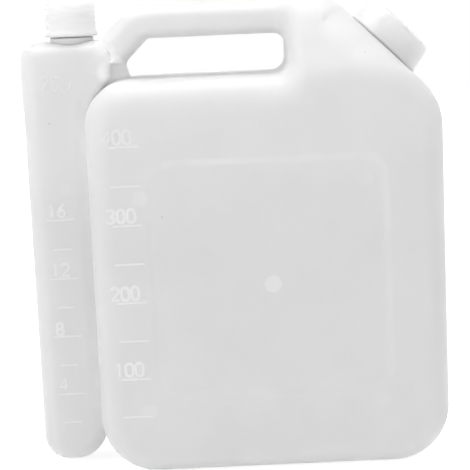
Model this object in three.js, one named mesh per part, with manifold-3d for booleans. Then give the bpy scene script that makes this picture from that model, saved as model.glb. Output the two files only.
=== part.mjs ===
// A bottle for mixing two-stroke fuel, blown in one piece from milky polyethylene: a wide fuel tank
// with a carrying handle, and a narrow oil measuring column beside it. Each has a neck with a screw
// cap, and a sealing liner lies inside each cap.
// Millimetres. +X runs from the oil column to the fuel tank, +Y away from the viewer and +Z up.
// The middle of the whole width and depth is the origin, and the tank stands on z = 0.
import * as THREE from 'three';
import { mergeVertices } from 'three/addons/utils/BufferGeometryUtils.js';
import Module from 'manifold-3d';

const wasm = await Module();
wasm.setup();

// Blown wall, and how far two walls sink into each other where the mould welds them
const wall = 1.2;
const weld = 0.4;

// Fuel tank
const tankWidth = 102;
const tankDepth = 47.8;
const tankHeight = 114.5;
const tankBottomRadius = 16.5;
const tankTopRadius = 13;
const tankSideRadius = 17;
const tankEdgeDepth = 9;
const tankBottomRounding = 8;
const tankSideRounding = 7;
const tankTopRounding = 11;

// Hump that carries the fuel neck: its height over the tank's top, its crest, its wall towards the
// hand gap and its lean
const humpHeight = 21.1;
const humpCrestWidth = 13;
const humpCrestRadius = 8;
const humpCrestDepth = 20;
const humpCrestRounding = 4;
const humpWallRounding = 4.5;
const humpFootRadius = 4;
const humpToTankSide = 43.4;
const shoulderRounding = 7;

// Oil measuring column
const columnWidth = 18.5;
const columnDepth = 18;
const columnHeight = 125.8;
const columnBase = 1;
const columnBottomLeftRadius = 7.5;
const columnBottomRightRadius = 9.5;
const columnTopRadius = 5;
const columnEdgeDepth = 6;
const columnRounding = 5;
const columnTopRounding = 3.5;
const columnHeadOverhang = 7.3;
const columnHeadSide = 7.2;
const columnHeadBevel = 3.4;
const columnHeadRadius = 1.5;
const columnHeadRounding = 3.5;
const columnBevelRounding = 3;

// Handle: a tube that leaves the hump, turns down at 45 degrees and is pinched off over the tank
const handleStep = 0.6;
const handleThickness = 9.2;
const handleSlopeThickness = 9.6;
const handleDepth = 18;
const handleEdgeDepth = 5.5;
const handleBendRadius = 10;
const handleInnerRadius = 2;
const handleRounding = 3.5;
const handleTipGap = 4.5;
const handleTipWidth = 4.08;
const handleTipSide = 3.4;
const handleTipRounding = 3.2;
const handleTipSideRounding = 2;
const handleBevelRounding = 2.5;
const handleTipRadius = 0.8;
const handleRoot = 8;

// Flash web that the mould pinches between the column, the handle's tip and the tank
const webThickness = 3;
const webSink = 3;
const webFlare = 1.9;
const pinchGap = 0.3;
const notchWidth = 1;

// Recessed panel on the tank's broad faces
const panelWidth = 67;
const panelHeight = 67.5;
const panelMiddle = 57.4;
const panelRadius = 6;
const panelRecess = 0.7;

// Raised graduation lines, every 50 ml on the tank and every 2 ml on the column
const lineThickness = 0.6;
const lineRelief = 0.3;
const tankFirstLine = 18.4;
const tankLineVolume = 50000;
const tankLineLength = 8.5;
const columnLines = 8;
const columnFirstLine = 13.6;
const columnLinePitch = 8.7;
const columnLongLine = 8.4;
const columnShortLine = 5.2;

// Oil neck, cap and liner
const oilNeckFromSide = 14.8;
const oilNeckDiameter = 11.5;
const oilBoreDiameter = 8.4;
const oilCapStandOff = 1.5;
const oilCapHeight = 10;
const oilCapDiameter = 14.5;
const oilCapTopDiameter = 14.3;
const oilCapLipDiameter = 15.2;
const oilCapLipHeight = 1;
const oilCapTopThickness = 1.2;
const oilCapEdgeRadius = 1.2;
const oilCapDome = 0.3;

// Fuel neck, cap and liner. The neck leans outwards on the middle of the shoulder.
const neckLean = Math.PI / 4;
const fuelNeckAlongShoulder = 21.4;
const fuelNeckDiameter = 18.2;
const fuelBoreDiameter = 14.8;
const fuelCapStandOff = 0.4;
const fuelCapHeight = 8.7;
const fuelCapDiameter = 24;
const fuelCapTopDiameter = 21.3;
const fuelCapLipHeight = 0.8;
const fuelCapTopThickness = 1.4;
const fuelCapEdgeRadius = 1.5;
const fuelCapDome = 0.6;

// Fits
const threadClearance = 0.3;
const linerThickness = 1;
const linerClearance = 0.3;
const cutThrough = 2;

// Fineness of the round stretches
const arcSteps = 8;
const roundingSteps = 5;
const turnedSegments = 56;
const capEdgeSteps = 4;

// Places that follow from the sizes
const tankRight = (tankWidth + columnWidth) / 2;
const seamX = tankRight - tankWidth;
const columnLeft = seamX - columnWidth;
const tankMiddle = (tankRight + seamX) / 2;
const humpTop = tankHeight + humpHeight;
const humpWall = tankRight - humpToTankSide;
const shoulderTop = humpWall + humpCrestWidth;
const shoulderFoot = humpTop - (tankRight - shoulderTop);
const headRight = seamX + columnHeadOverhang;
const notchX = headRight - columnHeadBevel + notchWidth;
const handleTop = humpTop - handleStep;
const handleBottom = handleTop - handleThickness;
const tipHeight = tankHeight + handleTipGap;
const tipLeft = headRight + pinchGap;
const tipRight = tipLeft + handleTipWidth;

// The handle's slopes run at 45 degrees, so that height less x stays the same along each
const slopeInner = tipHeight - tipRight;
const slopeOuter = slopeInner + handleSlopeThickness * Math.SQRT2;

// Where the necks stand
const fuelNeckStep = fuelNeckAlongShoulder / Math.SQRT2;
const fuelNeckFoot = new THREE.Vector3(shoulderTop + fuelNeckStep, 0, humpTop - fuelNeckStep);
const oilNeckFoot = new THREE.Vector3(columnLeft + oilNeckFromSide, 0, columnHeight);

// Corners of an outline run anticlockwise seen from the front. Each has its place, the radius of
// its own turn, and the rounding of the edge that leaves it.
function corner(x, z, radius, rounding) {
  return { place: new THREE.Vector2(x, z), radius, rounding };
}

// The round turn between two edges that have both been moved inwards.
function turnPoints(before, after, radius) {
  const leastRadius = 0.15;
  const turn = Math.atan2(before.along.cross(after.along), before.along.dot(after.along));
  const side = Math.sign(turn);
  const determinant = before.inward.cross(after.inward);
  const meeting = new THREE.Vector2(
    (before.level * after.inward.y - after.level * before.inward.y) / determinant,
    (before.inward.x * after.level - after.inward.x * before.level) / determinant,
  );
  const turned = Math.max(radius - side * (before.shift + after.shift) / 2, leastRadius);
  const start = meeting.clone().addScaledVector(before.along, -turned * Math.tan(Math.abs(turn) / 2));
  const centre = start.clone().addScaledVector(before.inward, side * turned);
  const steps = Math.ceil(arcSteps * Math.abs(turn) / (Math.PI / 2));
  const points = [];
  for (let step = 0; step <= steps; step += 1) {
    points.push(start.clone().rotateAround(centre, turn * step / steps));
  }
  return points;
}

// An outline with every edge moved inwards by the inset and then by a share of its own rounding.
function outlinePoints(corners, inset, share) {
  const edges = corners.map((from, index) => {
    const to = corners[(index + 1) % corners.length];
    const along = to.place.clone().sub(from.place).normalize();
    const inward = new THREE.Vector2(-along.y, along.x);
    const shift = inset + share * Math.max(from.rounding - inset, 0);
    return { along, inward, shift, level: from.place.dot(inward) + shift };
  });
  return corners.flatMap((from, index) => {
    const before = edges[(index + edges.length - 1) % edges.length];
    return turnPoints(before, edges[index], from.radius);
  });
}

// A closed skin through rings of points that follow one another from the front to the back.
function loft(rings) {
  const geometry = new THREE.BufferGeometry();
  const around = rings[0].length;
  const last = (rings.length - 1) * around;
  const flatFace = THREE.ShapeUtils.triangulateShape(rings[0].map((p) => new THREE.Vector2(p.x, p.z)), []);
  const index = [];
  flatFace.forEach(([a, b, c]) => {
    index.push(a, b, c, last + a, last + c, last + b);
  });
  for (let ring = 0; ring < last; ring += around) {
    for (let step = 0; step < around; step += 1) {
      const near = ring + step;
      const beside = ring + (step + 1) % around;
      index.push(near, near + around, beside + around, near, beside + around, beside);
    }
  }
  geometry.setFromPoints(rings.flat());
  geometry.setIndex(index);
  return geometry;
}

// A slab with rounded rims: full outline at mid depth, each edge drawn in by its rounding at the
// flat faces. The inset makes the same slab smaller by a wall all round.
function roundedSlab(corners, depth, edgeDepth, inset = 0) {
  const rings = [];
  for (let step = 0; step <= roundingSteps; step += 1) {
    const angle = (Math.PI / 2) * (1 - step / roundingSteps);
    const outline = outlinePoints(corners, inset, 1 - Math.cos(angle));
    const y = depth / 2 - edgeDepth + (edgeDepth - inset) * Math.sin(angle);
    rings.push({ outline, y });
  }
  const front = rings.map(({ outline, y }) => outline.map((p) => new THREE.Vector3(p.x, -y, p.y)));
  const back = rings.map(({ outline, y }) => outline.map((p) => new THREE.Vector3(p.x, y, p.y)));
  return loft([...front, ...back.reverse()]);
}

// A box between two corners.
function block(from, to) {
  const size = new THREE.Vector3().subVectors(to, from);
  const middle = new THREE.Vector3().addVectors(from, to).multiplyScalar(0.5);
  return new THREE.BoxGeometry(size.x, size.y, size.z).translate(middle.x, middle.y, middle.z);
}

// A turned piece about +Z from (radius, height) points that start and end on the axis.
function turned(profile) {
  const points = profile.map(([radius, height]) => new THREE.Vector2(radius, height));
  return new THREE.LatheGeometry(points, turnedSegments).rotateX(Math.PI / 2);
}

function cylinder(radius, bottom, top) {
  return turned([[0, bottom], [radius, bottom], [radius, top], [0, top]]);
}

// Solids for the cuts and joins.
function solid(geometry) {
  const bare = geometry.clone();
  bare.deleteAttribute('normal');
  bare.deleteAttribute('uv');
  const sameSpot = 1e-5;
  const closed = mergeVertices(bare, sameSpot);
  return new wasm.Manifold(new wasm.Mesh({
    numProp: 3,
    vertProperties: new Float32Array(closed.attributes.position.array),
    triVerts: new Uint32Array(closed.index.array),
  }));
}

function geometryOf(manifold) {
  const mesh = manifold.getMesh();
  const geometry = new THREE.BufferGeometry();
  geometry.setAttribute('position', new THREE.BufferAttribute(mesh.vertProperties, mesh.numProp));
  geometry.setIndex(new THREE.BufferAttribute(mesh.triVerts, 1));
  return geometry;
}

// Tank and hump in one outline. The shoulder between them runs at 45 degrees.
function tankCorners() {
  return [
    corner(seamX, 0, tankBottomRadius, tankBottomRounding),
    corner(tankRight, 0, tankBottomRadius, tankSideRounding),
    corner(tankRight, shoulderFoot, tankSideRadius, shoulderRounding),
    corner(shoulderTop, humpTop, humpCrestRadius, humpCrestRounding),
    corner(humpWall, humpTop, 0, humpWallRounding),
    corner(humpWall, tankHeight, humpFootRadius, tankTopRounding),
    corner(seamX, tankHeight, tankTopRadius, tankSideRounding),
  ];
}

// The column's right side is welded to the tank and widens over the tank's round top corner.
function columnCorners() {
  const right = seamX + weld;
  const headFoot = columnHeight - columnHeadBevel - columnHeadSide;
  const headStart = headFoot - (headRight - right);
  return [
    corner(columnLeft, columnBase, columnBottomLeftRadius, columnRounding),
    corner(right, columnBase, columnBottomRightRadius, columnRounding),
    corner(right, headStart, tankTopRadius, columnRounding),
    corner(headRight, headFoot, columnHeadRadius, columnHeadRounding),
    corner(headRight, columnHeight - columnHeadBevel, columnHeadRadius, columnBevelRounding),
    corner(headRight - columnHeadBevel, columnHeight, columnHeadRadius, columnTopRounding),
    corner(columnLeft, columnHeight, columnTopRadius, columnRounding),
  ];
}

// The handle ends in the hump at one end and in a blunt tip beside the column's head at the other.
function handleCorners() {
  const root = humpWall + handleRoot;
  const tipShoulder = tipHeight + handleTipSide;
  const bevel = tipLeft + tipShoulder;
  return [
    corner(root, handleBottom, 0, 0),
    corner(root, handleTop, 0, handleRounding),
    corner(handleTop - slopeOuter, handleTop, handleBendRadius, handleRounding),
    corner((bevel - slopeOuter) / 2, (bevel + slopeOuter) / 2, handleTipRadius, handleBevelRounding),
    corner(tipLeft, tipShoulder, handleTipRadius, handleTipSideRounding),
    corner(tipLeft, tipHeight, handleTipRadius, handleTipRounding),
    corner(tipRight, tipHeight, handleTipRadius, handleRounding),
    corner(handleBottom - slopeInner, handleBottom, handleInnerRadius, handleRounding),
  ];
}

// The hump's broad faces lean towards each other above the tank's top.
function leanedBack(slab, inset) {
  const reach = tankWidth + tankHeight;
  const below = solid(block(
    new THREE.Vector3(-reach, -reach, -reach),
    new THREE.Vector3(reach, reach, tankHeight),
  ));
  const straight = solid(slab);
  const upper = geometryOf(straight.subtract(below));
  const halfDepth = tankDepth / 2 - inset;
  const lean = (tankDepth - humpCrestDepth) / 2 / humpHeight;
  const place = upper.attributes.position;
  for (let index = 0; index < place.count; index += 1) {
    const narrowed = halfDepth - lean * (place.getZ(index) - tankHeight);
    place.setY(index, place.getY(index) * narrowed / halfDepth);
  }
  return straight.intersect(below).add(solid(upper));
}

// The neck of the tank stands square on the shoulder.
function onShoulder(geometry) {
  return geometry.rotateY(neckLean).translate(...fuelNeckFoot);
}

function onColumn(geometry) {
  return geometry.translate(...oilNeckFoot);
}

// Height of a neck's mouth over the surface that it stands on.
function neckHeight(standOff, capHeight, topThickness) {
  return standOff + capHeight - topThickness - linerThickness - 2 * linerClearance;
}

const oilNeckHeight = neckHeight(oilCapStandOff, oilCapHeight, oilCapTopThickness);
const fuelNeckHeight = neckHeight(fuelCapStandOff, fuelCapHeight, fuelCapTopThickness);

function necks() {
  const buried = wall;
  const oil = onColumn(cylinder(oilNeckDiameter / 2, -buried, oilNeckHeight));
  const fuel = onShoulder(cylinder(fuelNeckDiameter / 2, -buried, fuelNeckHeight));
  return solid(oil).add(solid(fuel));
}

function bores() {
  const deep = wall + cutThrough;
  const oil = onColumn(cylinder(oilBoreDiameter / 2, -deep, oilNeckHeight + cutThrough));
  const fuel = onShoulder(cylinder(fuelBoreDiameter / 2, -deep, fuelNeckHeight + cutThrough));
  return solid(oil).add(solid(fuel));
}

// Thin plate of flash that closes the groove between the column's head, the handle and the tank.
function flashWeb() {
  const outline = new THREE.Shape([
    new THREE.Vector2(headRight - 2 * webSink, tankHeight - 2 * webSink),
    new THREE.Vector2(tipRight + webFlare, tankHeight - webSink),
    new THREE.Vector2(tipRight, tipHeight),
    new THREE.Vector2(tipRight, tipHeight + webSink),
    new THREE.Vector2(notchX - notchWidth / 2, columnHeight - notchWidth),
    new THREE.Vector2(notchX - 2 * webSink, columnHeight - webSink),
  ]);
  const plate = new THREE.ExtrudeGeometry(outline, { depth: webThickness, bevelEnabled: false });
  return solid(plate.rotateX(Math.PI / 2).translate(0, webThickness / 2, 0));
}

// The recessed panel, cut into a broad face that lies at the given depth from mid depth.
function panelCut(faceY, margin) {
  const halfWidth = panelWidth / 2 + margin;
  const halfHeight = panelHeight / 2 + margin;
  const cut = [
    corner(tankMiddle - halfWidth, panelMiddle - halfHeight, panelRadius, 0),
    corner(tankMiddle + halfWidth, panelMiddle - halfHeight, panelRadius, 0),
    corner(tankMiddle + halfWidth, panelMiddle + halfHeight, panelRadius, 0),
    corner(tankMiddle - halfWidth, panelMiddle + halfHeight, panelRadius, 0),
  ];
  const shape = new THREE.Shape(outlinePoints(cut, 0, 0));
  const depth = panelRecess + cutThrough;
  const plate = new THREE.ExtrudeGeometry(shape, { depth, bevelEnabled: false }).rotateX(Math.PI / 2);
  const front = solid(plate.clone().translate(0, panelRecess - faceY, 0));
  const back = solid(plate.clone().translate(0, faceY + cutThrough, 0));
  return front.add(back);
}

function graduationLine(left, right, height, faceY) {
  return solid(block(
    new THREE.Vector3(left, -faceY - lineRelief, height - lineThickness / 2),
    new THREE.Vector3(right, -faceY + wall / 2, height + lineThickness / 2),
  ));
}

// The lines' pitch on the tank follows from its inner section, and they end below its round top.
function tankScale() {
  const innerWidth = tankWidth - 2 * wall;
  const innerDepth = tankDepth - 2 * wall;
  const lostCorners = (4 - Math.PI) * (tankSideRounding - wall) * (tankEdgeDepth - wall);
  const pitch = tankLineVolume / (innerWidth * innerDepth - lostCorners);
  const left = seamX + tankSideRounding;
  const lines = [];
  for (let height = tankFirstLine; height < tankHeight - tankTopRounding; height += pitch) {
    lines.push(graduationLine(left, left + tankLineLength, height, tankDepth / 2));
  }
  return lines;
}

function columnScale() {
  const middle = (columnLeft + seamX) / 2;
  const lines = [];
  for (let line = 0; line < columnLines; line += 1) {
    const half = (line % 2 === 1 ? columnLongLine : columnShortLine) / 2;
    const height = columnFirstLine + line * columnLinePitch;
    lines.push(graduationLine(middle - half, middle + half, height, columnDepth / 2));
  }
  return lines;
}

// Cavities: the tank's reaches into the handle, and the column's is closed off from both.
function cavities() {
  const tank = leanedBack(roundedSlab(tankCorners(), tankDepth, tankEdgeDepth, wall), wall);
  const handle = solid(roundedSlab(handleCorners(), handleDepth, handleEdgeDepth, wall));
  const column = solid(roundedSlab(columnCorners(), columnDepth, columnEdgeDepth, wall));
  const columnSkin = solid(roundedSlab(columnCorners(), columnDepth, columnEdgeDepth));
  const fuelSide = tank.subtract(panelCut(tankDepth / 2 - wall, wall)).add(handle);
  return fuelSide.subtract(columnSkin).add(column).add(bores());
}

function bottleSolid() {
  const tank = leanedBack(roundedSlab(tankCorners(), tankDepth, tankEdgeDepth), 0);
  const handle = solid(roundedSlab(handleCorners(), handleDepth, handleEdgeDepth));
  const column = solid(roundedSlab(columnCorners(), columnDepth, columnEdgeDepth));
  let body = tank.subtract(panelCut(tankDepth / 2, 0)).add(handle).add(column);
  body = body.add(flashWeb()).add(necks());
  [...tankScale(), ...columnScale()].forEach((line) => {
    body = body.add(line);
  });
  return body.subtract(cavities());
}

// Round top rim of a cap from its side to its top, and the slightly domed top.
function capTop(topRadius, height, edgeRadius, dome) {
  const rim = [];
  for (let step = 0; step <= capEdgeSteps; step += 1) {
    const angle = (Math.PI / 2) * (step / capEdgeSteps);
    const radius = topRadius - edgeRadius * (1 - Math.cos(angle));
    rim.push([radius, height - dome - edgeRadius * (1 - Math.sin(angle))]);
  }
  const halfway = 0.5;
  return [...rim, [topRadius * halfway, height - dome * halfway ** 2], [0, height]];
}

// A cap is open below. Its bore clears the neck's thread and its roof clears the liner.
function capGeometry(cap) {
  const bore = cap.neckDiameter / 2 + threadClearance;
  const roof = cap.height - cap.topThickness;
  return turned([
    [0, roof],
    [bore, roof],
    [bore, 0],
    [cap.lipDiameter / 2, 0],
    [cap.lipDiameter / 2, cap.lipHeight],
    [cap.diameter / 2, cap.lipHeight + (cap.lipDiameter - cap.diameter) / 2],
    ...capTop(cap.topDiameter / 2, cap.height, cap.edgeRadius, cap.dome),
  ]);
}

const oilCap = {
  neckDiameter: oilNeckDiameter,
  height: oilCapHeight,
  diameter: oilCapDiameter,
  topDiameter: oilCapTopDiameter,
  lipDiameter: oilCapLipDiameter,
  lipHeight: oilCapLipHeight,
  topThickness: oilCapTopThickness,
  edgeRadius: oilCapEdgeRadius,
  dome: oilCapDome,
};

const fuelCapTaper = (fuelCapDiameter - fuelCapTopDiameter) / fuelCapHeight;
const fuelCap = {
  neckDiameter: fuelNeckDiameter,
  height: fuelCapHeight,
  diameter: fuelCapDiameter - fuelCapLipHeight * fuelCapTaper,
  topDiameter: fuelCapTopDiameter,
  lipDiameter: fuelCapDiameter,
  lipHeight: fuelCapLipHeight - (fuelCapLipHeight * fuelCapTaper) / 2,
  topThickness: fuelCapTopThickness,
  edgeRadius: fuelCapEdgeRadius,
  dome: fuelCapDome,
};

function linerGeometry(cap) {
  const top = cap.height - cap.topThickness - linerClearance;
  return cylinder(cap.neckDiameter / 2, top - linerThickness, top);
}

// Materials as the photograph shows them
const milkyPolyethylene = { color: 0xe9e9e6, roughness: 0.42, metalness: 0 };
const capPolyethylene = { color: 0xf2f2ef, roughness: 0.38, metalness: 0 };
const linerFoam = { color: 0xf6f4ea, roughness: 0.85, metalness: 0 };

function piece(name, geometry, look) {
  const mesh = new THREE.Mesh(geometry, new THREE.MeshStandardMaterial(look));
  mesh.name = name;
  return mesh;
}

// Each closure stands on its neck: the cap's rim keeps its stand-off from the surface below.
function closure(name, cap, standOff) {
  const parts = new THREE.Group();
  const lifted = (geometry) => geometry.translate(0, 0, standOff);
  parts.add(piece(name, lifted(capGeometry(cap)), capPolyethylene));
  parts.add(piece(`${name}_liner`, lifted(linerGeometry(cap)), linerFoam));
  return parts;
}

const group = new THREE.Group();
group.add(piece('bottle', geometryOf(bottleSolid()), milkyPolyethylene));

const oilClosure = closure('oil_cap', oilCap, oilCapStandOff);
oilClosure.position.copy(oilNeckFoot);
group.add(oilClosure);

const fuelClosure = closure('fuel_cap', fuelCap, fuelCapStandOff);
fuelClosure.position.copy(fuelNeckFoot);
fuelClosure.rotation.y = neckLean;
group.add(fuelClosure);

export default group;
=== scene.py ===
# A blown bottle for mixing two-stroke fuel: a milky tank with a carrying handle, a narrow oil
# column beside it, two threaded necks with screw caps, and a sealing liner inside each cap.
# Lengths are written in millimetres and scaled to Blender's metres where a mesh is made.
import math

import bpy
import numpy as np
from bpy.props import (
    FloatProperty,
    FloatVectorProperty,
    IntProperty,
    PointerProperty,
)
from mathutils import Matrix, Vector


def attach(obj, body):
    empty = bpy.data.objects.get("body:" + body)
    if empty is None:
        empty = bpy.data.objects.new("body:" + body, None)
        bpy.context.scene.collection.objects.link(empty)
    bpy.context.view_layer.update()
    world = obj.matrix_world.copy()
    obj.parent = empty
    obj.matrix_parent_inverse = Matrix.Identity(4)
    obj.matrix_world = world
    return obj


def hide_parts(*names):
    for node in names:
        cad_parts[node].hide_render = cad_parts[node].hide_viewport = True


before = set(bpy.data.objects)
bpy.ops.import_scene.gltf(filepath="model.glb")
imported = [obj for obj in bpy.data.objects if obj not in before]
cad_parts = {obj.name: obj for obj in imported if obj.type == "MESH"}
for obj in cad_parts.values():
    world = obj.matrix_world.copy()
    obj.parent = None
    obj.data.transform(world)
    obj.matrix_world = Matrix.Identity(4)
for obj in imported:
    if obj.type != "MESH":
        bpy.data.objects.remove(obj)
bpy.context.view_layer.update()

bl_info = {
    "name": "Fuel mixing bottle",
    "version": (1, 0, 0),
    "blender": (4, 5, 0),
    "location": "3D View > Sidebar > Bottle",
    "description": "Builds a blown fuel mixing bottle with its scale, necks, caps and stage",
    "category": "Object",
}

MM = 0.001

# Outside of the bottle, as in the part's own drawing
TANK_LEFT = -41.75
TANK_RIGHT = 60.25
TANK_MIDDLE = (TANK_LEFT + TANK_RIGHT) / 2
TANK_HEIGHT = 114.5
TANK_HALF_DEPTH = 23.9
TANK_EDGE_DEPTH = 9.0
HUMP_TOP = 135.6
HUMP_WALL = 16.85
HUMP_CREST_HALF_DEPTH = 10.0
SHOULDER_TOP = 29.85
SHOULDER_FOOT = 105.2
COLUMN_LEFT = -60.25
COLUMN_MIDDLE = (COLUMN_LEFT + TANK_LEFT) / 2
COLUMN_FOOT = 1.0
COLUMN_BREAK = 107.3
COLUMN_TOP = 125.8
COLUMN_HALF_DEPTH = 9.0
COLUMN_EDGE_DEPTH = 6.0
WELD = 0.4
HANDLE_TOP = 135.0
HANDLE_BOTTOM = 125.8
HANDLE_HALF_DEPTH = 9.0
HANDLE_EDGE_DEPTH = 5.5
HANDLE_TOP_LEFT = -27.65
HANDLE_NOSE = (-37.2, 125.45)
HAND_GAP_LEFT = -23.27
HANDLE_SINK = 8
HEAD_RIGHT = -34.45
HEAD_FOOT = 115.2
HEAD_CHAMFER = 3.4
TIP_LEFT = -34.15
TIP_RIGHT = -30.07
TIP_BOTTOM = 119.0
TIP_SHOULDER = 122.4

# Where the necks stand, and which way the tank's neck leans
OIL_FOOT = Vector((-45.45, 0.0, 125.8))
FUEL_FOOT = Vector((44.982, 0.0, 120.468))
FUEL_LEAN = math.radians(45)
OIL_AXES = Matrix.Translation(OIL_FOOT * MM)
FUEL_AXES = Matrix.Translation(FUEL_FOOT * MM) @ Matrix.Rotation(FUEL_LEAN, 4, "Y")

# Bores, heights and thread crests of the necks, with each cap's clearance and seat
OIL_BORE = 8.4
FUEL_BORE = 14.8
OIL_NECK_HEIGHT = 8.7
FUEL_NECK_HEIGHT = 6.1
OIL_NECK_CREST = 11.5
FUEL_NECK_CREST = 18.2
NECK_TUBE_SINK = 0.45
CAP_CLEARANCE = 0.3
OIL_CAP_SEAT = 1.5
FUEL_CAP_SEAT = 0.4

# Width and height of the collars that the caps nearly reach
OIL_COLLAR = (12.6, 1.3)
FUEL_COLLAR = (23.0, 0.3)

# First turn's height and number of turns of each thread
OIL_NECK_THREAD = (2.6, 1.8)
FUEL_NECK_THREAD = (1.5, 1.2)
OIL_CAP_THREAD = (1.9, 1.6)
FUEL_CAP_THREAD = (2.4, 0.9)
CAP_RIDGE = 0.5
RIDGE_SHARE = 0.98
THREAD_STEPS = 72
THREAD_FADE = 0.09
THREAD_END = 0.15

# Least rounding of the skin's rims, softness of the mould marks, reach of the handle's roots
LEAST_ROUNDING = 0.4
DISC_SOFTNESS = 0.6
HANDLE_ROOT_REACH = 5
FAR_AWAY = 100.0


def length(label, description, size):
    """A size that a user would change, given in millimetres."""
    return FloatProperty(
        name=label, description=description, default=size * MM, min=0, unit="LENGTH", precision=5
    )


def colour(label, description, shade):
    return FloatVectorProperty(
        name=label, description=description, default=shade, min=0, max=1, size=3, subtype="COLOR"
    )


def share(label, description, value):
    return FloatProperty(
        name=label, description=description, default=value, min=0, max=1, subtype="FACTOR"
    )


class BottleSizes(bpy.types.PropertyGroup):
    wall: length("Wall", "Thickness of the blown wall", 1.2)
    panel_width: length("Panel width", "Width of the recessed panel", 67)
    panel_height: length("Panel height", "Height of the recessed panel", 67.5)
    panel_middle: length("Panel middle", "Height of the panel's middle", 57.4)
    panel_radius: length("Panel radius", "Corner radius of the panel", 6)
    panel_recess: length("Panel recess", "Depth of the panel below the broad face", 0.7)
    panel_step: length("Panel step", "Width of the soft step round the panel", 2.6)
    disc_relief: length("Disc relief", "Height of the round mould marks", 0.12)
    handle_blend: length("Handle blend", "Softness of the handle's roots", 4)
    seam_blend: length("Seam blend", "Softness of the seam beside the column", 1.2)
    grid: length("Grid", "Spacing of the grid that the skin is found on", 0.6)
    triangles: IntProperty(
        name="Triangles", description="Triangles kept in the skin", default=180000, min=20000
    )


class ScaleSizes(bpy.types.PropertyGroup):
    relief: length("Relief", "Height of the raised lines and numbers", 0.22)
    line_thickness: length("Line thickness", "Thickness of a raised line", 0.6)
    tank_first: length("First tank line", "Height of the lowest line on the tank", 18.4)
    tank_pitch: length("Tank pitch", "Height of 50 ml in the tank", 11.15)
    tank_line: length("Tank line", "Length of a line on the tank", 8.5)
    column_first: length("First column line", "Height of the lowest line on the column", 13.6)
    column_pitch: length("Column pitch", "Height of one step of the column's scale", 8.7)
    column_long: length("Long line", "Length of the column's numbered lines", 8.4)
    column_short: length("Short line", "Length of the column's other lines", 5.2)
    number_height: length("Number height", "Height of the raised numbers", 3.7)
    stroke: length("Stroke", "Thickness of the numbers' strokes", 0.95)


class ClosureSizes(bpy.types.PropertyGroup):
    oil_pitch: length("Oil thread pitch", "Rise of the oil neck's thread in a turn", 3)
    fuel_pitch: length("Fuel thread pitch", "Rise of the fuel neck's thread in a turn", 3.3)
    thread_depth: length("Thread depth", "Height of a neck's thread over its tube", 0.6)
    rings: IntProperty(name="Rings", description="Rings round the oil cap", default=5, min=0)
    ring_pitch: length("Ring pitch", "Distance between the oil cap's rings", 1.472)
    ring_depth: length("Ring depth", "Depth of the hollows between the rings", 0.22)


class Finish(bpy.types.PropertyGroup):
    skin_colour: colour("Skin colour", "Milky plastic of the bottle", (0.69, 0.69, 0.69))
    cap_colour: colour("Cap colour", "Milky plastic of the caps", (0.77, 0.77, 0.77))
    liner_colour: colour("Liner colour", "Foam of the liners", (0.85, 0.83, 0.77))
    skin_roughness: share("Skin roughness", "Roughness of the blown plastic", 0.42)
    cap_roughness: share("Cap roughness", "Roughness of the moulded caps", 0.36)
    scatter: length("Scatter", "How far light spreads in the plastic", 7)


def sizes(group):
    """The values of a property group, lengths in millimetres."""
    values = getattr(bpy.context.scene, group)
    found = {}
    for name, item in values.bl_rna.properties.items():
        if name in ("name", "rna_type"):
            continue
        value = getattr(values, name)
        found[name] = value / MM if item.type == "FLOAT" and item.unit == "LENGTH" else value
    return found


# Meshes and their places


def mesh_object(name, points, faces, smooth=True):
    """An object at the origin from points in metres."""
    mesh = bpy.data.meshes.new(name)
    mesh.from_pydata([tuple(p) for p in points], [], faces)
    mesh.polygons.foreach_set("use_smooth", [smooth] * len(mesh.polygons))
    mesh.update()
    piece = bpy.data.objects.new(name, mesh)
    bpy.context.scene.collection.objects.link(piece)
    return piece


def frozen(piece):
    """The evaluated shape of an object as a plain mesh, with its modifiers gone."""
    bpy.context.view_layer.update()
    graph = bpy.context.evaluated_depsgraph_get()
    mesh = bpy.data.meshes.new_from_object(piece.evaluated_get(graph))
    mesh.transform(piece.matrix_world)
    plain = bpy.data.objects.new(piece.name + "_plain", mesh)
    bpy.context.scene.collection.objects.link(plain)
    name = piece.name
    bpy.data.objects.remove(piece)
    plain.name = name
    return plain


def settled(piece, body, material):
    """Rides on its body with one material."""
    piece.data.materials.clear()
    piece.data.materials.append(material)
    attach(piece, body)
    return piece


# Outlines of straight edges and round corners, and the distance from them


def outline(corners):
    """Straight and round stretches of an anticlockwise outline of (x, z, radius, rounding)."""
    places = [np.array(c[:2], float) for c in corners]
    least_radius = 0.3
    turns = []
    for index, corner in enumerate(corners):
        before = places[index] - places[index - 1]
        after = places[(index + 1) % len(corners)] - places[index]
        before /= np.linalg.norm(before)
        after /= np.linalg.norm(after)
        turn = math.atan2(before[0] * after[1] - before[1] * after[0], before @ after)
        radius = max(corner[2], least_radius)
        reach = radius * math.tan(abs(turn) / 2)
        side = math.copysign(1, turn)
        start = places[index] - before * reach
        centre = start + np.array((-before[1], before[0])) * side * radius
        toward = places[index] - centre
        turns.append(
            {
                "start": start,
                "end": places[index] + after * reach,
                "centre": centre,
                "radius": radius,
                "side": side,
                "half_turn": abs(turn) / 2,
                "toward": toward / np.linalg.norm(toward),
                "roundings": (corners[index - 1][3], corner[3]),
            }
        )
    return turns


def from_edge(x, z, start, end):
    """Signed distance from a straight edge, less than nothing on its left."""
    along = end - start
    reach = np.linalg.norm(along)
    along = along / reach
    run = (x - start[0]) * along[0] + (z - start[1]) * along[1]
    left = (z - start[1]) * along[0] - (x - start[0]) * along[1]
    past = run - np.clip(run, 0, reach)
    return np.copysign(np.hypot(past, left), -left)


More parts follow.
